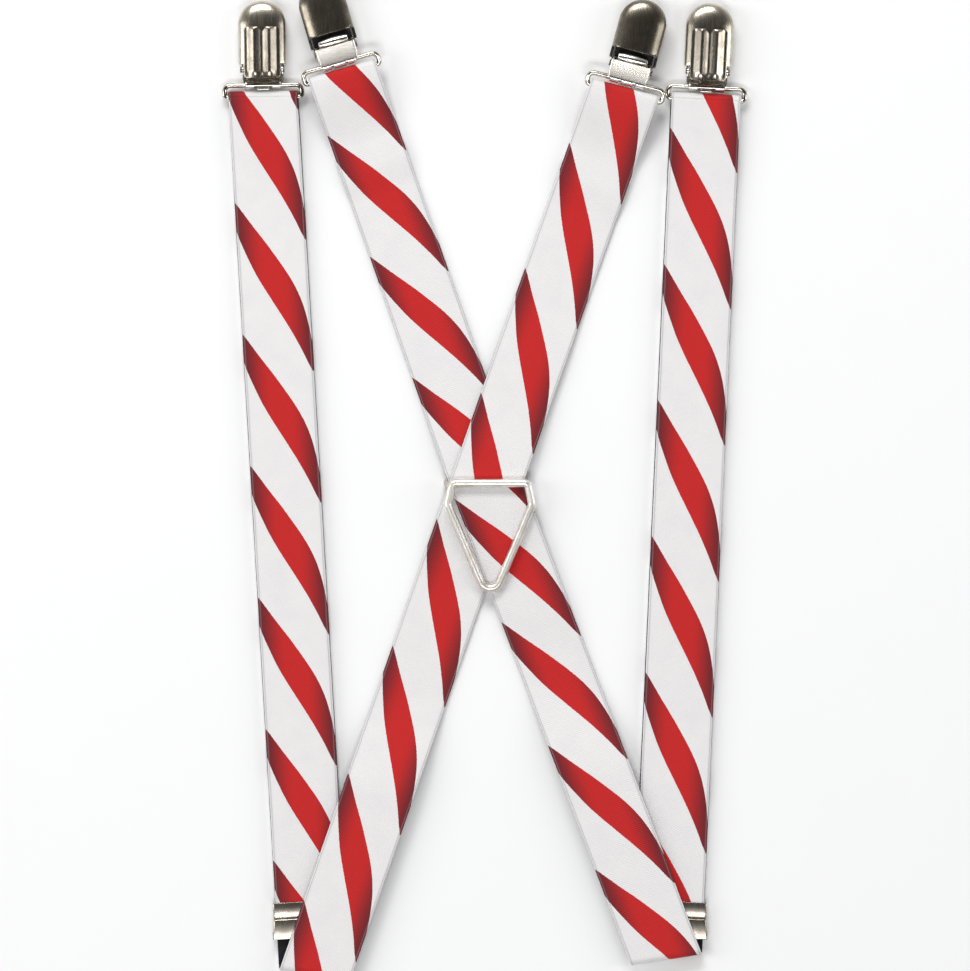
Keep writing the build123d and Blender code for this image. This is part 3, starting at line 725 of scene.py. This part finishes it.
def lever_grid():
    rows = []
    cols = []
    for j in range(7):
        cols.append((-6.6, 1 - j / 7))
    for j in range(65):
        cols.append((-6.6 + 13.2 * j / 64, 0.0))
    for j in range(7):
        cols.append((6.6, (j + 1) / 7))
    fs = [0, 0.01, 0.025, 0.05] + [0.05 + 0.9 * i / 40 for i in range(1, 41)] + [0.975, 0.99, 1.0]
    for f in fs:
        row = []
        for v, down in cols:
            av = abs(v)
            corner = 1.6 - math.sqrt(max(0.0, 1.6 ** 2 - max(0.0, av - 5.0) ** 2))
            notch = 2.3 * max(0.0, 1 - av / 1.7) ** 1.15
            lo_u, hi_u = 2.0 + corner, 20.5 - corner - notch
            u = lo_u + f * (hi_u - lo_u)
            arc = 3.6 + 1.35 * (1 - (v / 6.6) ** 2)
            fade = smooth((u - 2.2) / 2.5) * smooth((20.9 - u) / 1.0)
            flute = 0.60 * math.exp(-(((av - 2.9) / 1.25) ** 2)) - 0.40 * math.exp(-((v / 0.9) ** 2)) - 0.22 * math.exp(-(((av - 5.3) / 0.7) ** 2))
            w = arc + flute * fade
            if down:
                low = 3.1 - 2.5 * smooth((8.2 - u) / 2.2) * smooth((u - 3.0) / 1.2)
                w = 3.6 - down * (3.6 - low)
            row.append(Vector((u, v, w)))
        rows.append(row)
    return rows


def base_grid(tilt):
    """plate with an ear turned up on each side of the pin; tilt lifts its jaw end"""
    rows = []
    for i in range(61):
        u = -0.1 + 6.35 * i / 60
        top = -2.88 - tilt * (0.17 * max(0.0, u - 0.2) + 0.02 * max(0.0, u - 0.2) ** 1.5)
        ear = -2.0
        if abs(u - 5.3) < 1.22:
            ear = max(ear, 1.8 + math.sqrt(1.22 ** 2 - abs(u - 5.3) ** 2))
        half = 7.35 - 0.35 * smooth((3.0 - u) / 3.0)
        row = []
        for k in range(9):
            row.append(Vector((u, -half, top + 0.45 + (ear - top - 0.45) * (1 - k / 8))))
        for k in range(1, 6):
            a = math.radians(90 * k / 6)
            row.append(Vector((u, -half + 0.45 * (1 - math.cos(a)), top + 0.45 * (1 - math.sin(a)))))
        for k in range(25):
            v = -half + 0.45 + (2 * half - 0.9) * k / 24
            row.append(Vector((u, v, top)))
        for k in range(5, 0, -1):
            a = math.radians(90 * k / 6)
            row.append(Vector((u, half - 0.45 * (1 - math.cos(a)), top + 0.45 * (1 - math.sin(a)))))
        for k in range(9):
            row.append(Vector((u, half, top + 0.45 + (ear - top - 0.45) * (k / 8))))
        rows.append(row)
    return rows


def arc_grid(cu, cw, r, a0, a1, v0, v1, n=28, cols=9):
    rows = []
    for i in range(n + 1):
        a = math.radians(a0 + (a1 - a0) * i / n)
        rows.append([Vector((cu + r * math.cos(a), v0 + (v1 - v0) * j / (cols - 1), cw + r * math.sin(a))) for j in range(cols)])
    return rows


for clip in CLIPS:
    o, U, V, W = clip_axes(clip)

    def place(grid, o=o, U=U, V=V, W=W):
        return [[(o + U * p.x + V * p.y + W * p.z + SHIFT) * MM for p in row] for row in grid]

    def shells(parts):
        verts, faces, base = [], [], 0
        for outer, inner, closed in parts:
            base = join_grids(place(outer), place(inner), base, verts, faces, closed)
        return verts, faces

    rear_clip = clip.startswith("rear")
    # painted reflection: the rear clips' jaws take the darkened copy of the nickel
    shell_metal = JAW_PAINTED_DARK if rear_clip else JAW_BRIGHT
    # back jaw
    v, f = shells([(jaw_grid(11.0, 8.6, 3.2, -1), jaw_grid(11.0, 8.02, 2.62, -1), False)])
    finish_mesh(clip + "_back_shell", v, f, shell_metal, clip + "_body", (clip + "_clip_body",), 0.1)
    # base: plate with ears, rails to the jaw, two curls and a tab round the ring
    g = base_grid(1.0 if rear_clip else 0.5)
    rail = []
    for sgn in (-1, 1):
        side_rows = []
        for i in range(13):
            u = 5.6 + 6.2 * i / 12
            top = -2.75 + 0.0 * u
            low = -0.7
            side_rows.append([Vector((u, sgn * 7.65, top + (low - top) * k / 6)) for k in range(7)])
        rail.append((side_rows, [[p - Vector((0, sgn * 0.55, 0)) for p in row] for row in side_rows], False))
    curls = [(arc_grid(0, -1.3, 1.6, -88, -330, a, b), arc_grid(0, -1.3, 1.02, -88, -330, a, b), False) for a, b in ((-6.3, -3.2), (3.2, 6.3))]
    tab = (arc_grid(0, -1.3, 1.62, -88, -175, -2.2, 2.2, 16, 13), arc_grid(0, -1.3, 1.05, -88, -175, -2.2, 2.2, 16, 13), False)
    v, f = shells([(g, offset_grid(g, 0.5), False)] + rail + curls + [tab])
    finish_mesh(clip + "_base_plate", v, f, PLATE_PAINTED_BRIGHT, clip + "_body", (), 0.08)
    # front jaw with its knuckle
    barrel_o, barrel_i = [], []
    for i in range(33):
        y = -5.4 + 10.8 * i / 32
        r = 1.30 + (0.58 if rear_clip else 0.38) * (1 - (y / 5.4) ** 2)
        barrel_o.append([Vector((7.95 + r * math.cos(t), y, -1.9 + r * math.sin(t))) for t in [2 * math.pi * k / 32 for k in range(32)]])
        barrel_i.append([Vector((7.95 + 0.5 * math.cos(t), y, -1.9 + 0.5 * math.sin(t))) for t in [2 * math.pi * k / 32 for k in range(32)]])
    leg = [[Vector((7.3, -5.2 + 10.4 * j / 12, -0.6 + 3.4 * i / 8)) for j in range(13)] for i in range(9)]
    leg_in = [[p + Vector((0.6, 0, 0)) for p in row] for row in leg]
    v, f = shells([(jaw_grid(7.3, 8.6, 3.2, 1), jaw_grid(7.3, 8.02, 2.62, 1), False)])
    finish_mesh(clip + "_front_shell", v, f, shell_metal, clip + "_jaw", (clip + "_front_jaw",), 0.1)
    v, f = shells([(barrel_o, barrel_i, True), (leg, leg_in, False)])
    finish_mesh(clip + "_knuckle", v, f, PLATE_PAINTED_BRIGHT, clip + "_jaw", (), 0.06)
    # the ring: a bent wire, tighter at the corners the webbing sits in
    pitch = math.radians(-REAR_PITCH if rear_clip else 0.0)
    path = []

    def corner(cu, cv, r, a0, a1):
        for q in range(13):
            t = math.radians(a0 + (a1 - a0) * q / 12)
            path.append((cu + r * math.cos(t), cv + r * math.sin(t)))

    half_w = RING_W / 2
    corner(-2.15, half_w - 2.15, 2.15, 0, 90)
    corner(-RING_H + 1.2, half_w - 1.2, 1.2, 90, 180)
    for q in range(1, 24):
        path.append((-RING_H, (half_w - 1.2) * (1 - q / 12)))
    corner(-RING_H + 1.2, -half_w + 1.2, 1.2, 180, 270)
    corner(-2.15, -half_w + 2.15, 2.15, 270, 360)
    for q in range(1, 24):
        path.append((0.0, -(half_w - 2.15) * (1 - q / 12)))
    ring_pts = [Vector((pu * math.cos(pitch), pv, BAR_W + pu * math.sin(pitch))) for pu, pv in path]
    up_n = Vector((-math.sin(pitch), 0, math.cos(pitch)))
    count = len(ring_pts)
    verts, faces = [], []
    for q in range(count):
        tan = (ring_pts[(q + 1) % count] - ring_pts[q - 1]).normalized()
        out_n = tan.cross(up_n).normalized()
        rr = WIRE_R
        for h in range(20):
            t = 2 * math.pi * h / 20
            p = ring_pts[q] + out_n * (rr * math.cos(t)) + up_n * (rr * math.sin(t))
            verts.append((o + U * p.x + V * p.y + W * p.z + SHIFT) * MM)
    for q in range(count):
        for h in range(20):
            a_, b_ = q * 20 + h, q * 20 + (h + 1) % 20
            c_, d_ = ((q + 1) % count) * 20 + (h + 1) % 20, ((q + 1) % count) * 20 + h
            faces.append((a_, b_, c_, d_))
    finish_mesh(clip + "_ring_wire", verts, faces, RING_METAL, clip + "_ring", (clip + "_ring",))
    # lever
    g = lever_grid()
    v, f = shells([(g, offset_grid(g, 0.55 if offset_sign(g) else -0.55), False)])
    finish_mesh(clip + "_lever_plate", v, f, LEVER_METAL, clip + "_lever", (clip + "_lever",), 0.1)

# ------------------------------------------------------------------ adjuster frames
for side in ("left", "right"):
    bar = lower_bar("front_" + side)
    end = RUN_END[side]
    d = (Vector((bar.x, bar.y, 0)) - end).normalized()
    across = Vector((d.y, -d.x, 0))
    start = end + d * ADJ_FROM_FOLD[side]
    rows = []
    for i in range(67):
        p = -2.3 + 13.2 * i / 66
        half = 14.2 - 0.75 * smooth((p + 2.3) / 7.0)
        if p < 5.1:
            top = 4.2 - 0.30 * abs((p - 1.6) / 3.7) ** 2.2
        else:
            top = 4.2 - 0.34 * abs((p - 8.2) / 2.8) ** 2.2
        top -= 0.30 * math.exp(-(((p - 5.1) / 0.22) ** 2))
        row = []
        depth = top - 0.5 - 0.75
        for k in range(8):
            row.append((-half, top - 0.5 - depth * (1 - k / 8)))
        for k in range(1, 7):
            a = math.radians(90 * k / 7)
            row.append((-half + 0.5 * (1 - math.cos(a)), top - 0.5 * (1 - math.sin(a))))
        for k in range(33):
            row.append((-half + 0.5 + (2 * half - 1.0) * k / 32, top))
        for k in range(6, 0, -1):
            a = math.radians(90 * k / 7)
            row.append((half - 0.5 * (1 - math.cos(a)), top - 0.5 * (1 - math.sin(a))))
        for k in range(8):
            row.append((half, top - 0.5 - depth * (k / 8)))
        rows.append([start + d * p + across * q + Vector((0, 0, z)) for q, z in row])
    inner = offset_grid(rows, 0.38 if offset_sign(rows) else -0.38)
    verts, faces = [], []
    join_grids([[(p + SHIFT) * MM for p in r_] for r_ in rows], [[(p + SHIFT) * MM for p in r_] for r_ in inner], 0, verts, faces)
    finish_mesh(side + "_adjuster_shell", verts, faces, ADJUSTER_METAL, side + "_adjuster", (side + "_adjuster_frame",), 0.09)

for name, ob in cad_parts.items():
    if ob.hide_render:
        continue
    ob.data.materials.clear()
    if name.endswith("pad"):
        ob.data.materials.append(PAD)
    elif name == "cross_ring":
        ob.data.materials.append(CROSS_PAINTED_BRIGHT)
    elif "ring" in name:
        ob.data.materials.append(RING_METAL)
    elif "adjuster" in name:
        ob.data.materials.append(ADJUSTER_METAL)
    else:
        ob.data.materials.append(PIN_METAL)

# ------------------------------------------------------------------ floor and light
bm = bmesh.new()
bmesh.ops.create_grid(bm, x_segments=8, y_segments=8, size=3.0)
floor_mesh = bpy.data.meshes.new("floor")
bm.to_mesh(floor_mesh)
bm.free()
floor = bpy.data.objects.new("floor", floor_mesh)
scene.collection.objects.link(floor)
floor.location.z = -0.0002
k = Nodes("studio_floor")
co = k.new("ShaderNodeTexCoord")
n = k.noise(co.outputs["Object"], 30.0, 2.0)
k.link(k.mix(k.math("MULTIPLY", n, 0.3), (0.92, 0.92, 0.92), (0.88, 0.88, 0.88)), k.bsdf.inputs["Base Color"])
k.bsdf.inputs["Roughness"].default_value = 0.9
floor_mesh.materials.append(k.mat)

world = bpy.data.worlds.new("world")
scene.world = world
world.use_nodes = True
wt = world.node_tree
bg = wt.nodes["Background"]
tc = wt.nodes.new("ShaderNodeTexCoord")
sp = wt.nodes.new("ShaderNodeSeparateXYZ")
wt.links.new(tc.outputs["Generated"], sp.inputs[0])
mr = wt.nodes.new("ShaderNodeMapRange")
mr.interpolation_type = "SMOOTHSTEP"
wt.links.new(sp.outputs[2], mr.inputs["Value"])
# a light tent: bright low down, dark overhead
for key_, val in (("From Min", 0.15), ("From Max", 0.88), ("To Min", 0.52), ("To Max", 0.012)):
    mr.inputs[key_].default_value = val
wt.links.new(mr.outputs[0], bg.inputs[1])
bg.inputs[0].default_value = (0.97, 0.985, 1.0, 1.0)


def area(name, angle, heading, dist, size, size_y, power):
    """a softbox at angle from straight up, towards heading (0 is +X, 90 is +Y)"""
    a, h = math.radians(angle), math.radians(heading)
    loc = Vector((math.sin(a) * math.cos(h), math.sin(a) * math.sin(h), math.cos(a))) * dist
    data = bpy.data.lights.new(name, "AREA")
    data.energy = power
    data.shape = "RECTANGLE"
    data.size = size
    data.size_y = size_y
    ob = bpy.data.objects.new(name, data)
    scene.collection.objects.link(ob)
    ob.location = loc
    ob.rotation_euler = (-loc).to_track_quat("-Z", "Y").to_euler()
    return ob


area("top_box", 50, 100, 1.8, 1.1, 0.5, 20.5)
area("bottom_box", 27, -92, 1.8, 1.0, 0.34, 11.0)
area("left_box", 55, 178, 1.8, 0.5, 1.2, 9.6)
area("right_box", 58, 4, 1.8, 0.4, 1.2, 6.0)
scene.view_settings.view_transform = "Standard"
